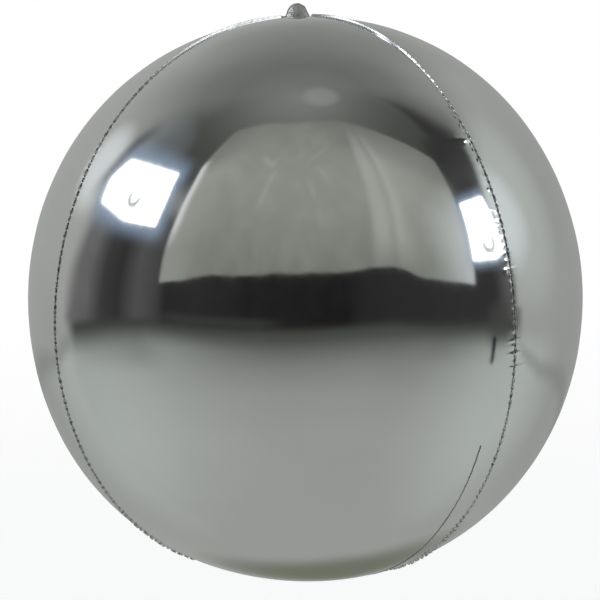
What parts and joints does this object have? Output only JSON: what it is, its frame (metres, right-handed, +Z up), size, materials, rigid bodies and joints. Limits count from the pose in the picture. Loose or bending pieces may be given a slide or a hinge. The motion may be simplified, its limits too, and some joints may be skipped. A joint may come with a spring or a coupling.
{
  "type": "sphere foil balloon",
  "caption": "Inflated round foil balloon of silver mirror film, with puckered welded seams, a small puffed crown tab and a flat filling neck folded under it.",
  "frame": {"origin": "centre of the envelope, halfway between its poles and on its axis; the mount named air", "axes": "+Z up along the envelope's axis, from the filling neck to the crown tab; -Y out of the middle of the front panel; +X to the right seen from the front"},
  "size_m": [0.56, 0.56, 0.5993],
  "materials": {
    "gore_film": "silver aluminised film, mirror smooth under tension",
    "seam_film": "welded double film, finely puckered mirror",
    "crown_tab_film": "puffed and creased silver film",
    "filling_neck_film": "flattened and creased silver film",
    "valve_weld_film": "pressed weld line in silver film, dark and dull"
  },
  "bodies": {
    "root": {"gore_front": "gore_film", "gore_right": "gore_film", "gore_back": "gore_film", "gore_left": "gore_film", "seam_front_right": "seam_film", "seam_back_right": "seam_film", "seam_back_left": "seam_film", "seam_front_left": "seam_film", "crown_tab": "crown_tab_film", "filling_neck": "filling_neck_film", "valve_weld": "valve_weld_film"}
  },
  "joints": []
}
